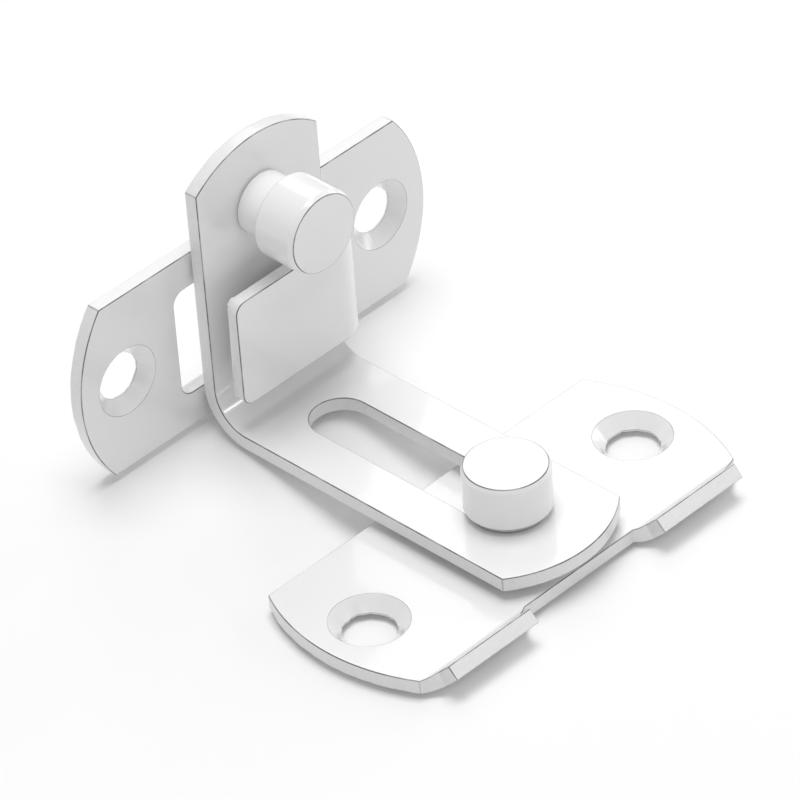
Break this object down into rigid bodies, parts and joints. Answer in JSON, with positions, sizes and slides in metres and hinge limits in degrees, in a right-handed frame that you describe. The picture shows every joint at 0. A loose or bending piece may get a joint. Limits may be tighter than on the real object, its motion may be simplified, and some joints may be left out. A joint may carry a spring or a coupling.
{
  "type": "stair gate latch",
  "caption": "Right-angle flip latch: a slotted L-strap swivels and slides on a knobbed stud over a lipped base plate, and its upright sits in a hooked keeper plate.",
  "frame": {"origin": "centre of the line between the base plate's screw holes, on its back face", "axes": "+X along the base plate, +Y towards the keeper, +Z out of the base plate"},
  "size_m": [0.0624, 0.0599, 0.0435],
  "materials": {
    "plate_paint": "gloss white powder coat on pressed steel sheet",
    "knob_paint": "gloss white powder coat on turned steel",
    "zinc_steel": "bright zinc plate",
    "nylon": "natural nylon"
  },
  "bodies": {
    "base": {"base_plate": "plate_paint", "pivot_screw": "zinc_steel", "pivot_sleeve": "zinc_steel", "retaining_washer": "zinc_steel", "pivot_knob": "knob_paint"},
    "glide": {"glide_bush": "nylon"},
    "strap": {"latch_strap": "plate_paint", "pull_knob": "knob_paint", "pull_screw": "zinc_steel"},
    "keeper": {"keeper_plate": "plate_paint"}
  },
  "joints": [
    {"name": "strap_swivel", "type": "hinge", "parent": "base", "child": "glide", "pos_m": [0, -0.00125, 0], "axis": [0, 0, 1], "range_deg": [-95, 95]},
    {"name": "strap_slide", "type": "slide", "parent": "glide", "child": "strap", "axis": [0, -1, 0], "range_m": [0, 0.0288]},
    {"name": "keeper_off", "type": "slide", "parent": "strap", "child": "keeper", "axis": [1, 0, 0], "range_m": [0, 0.025]}
  ]
}
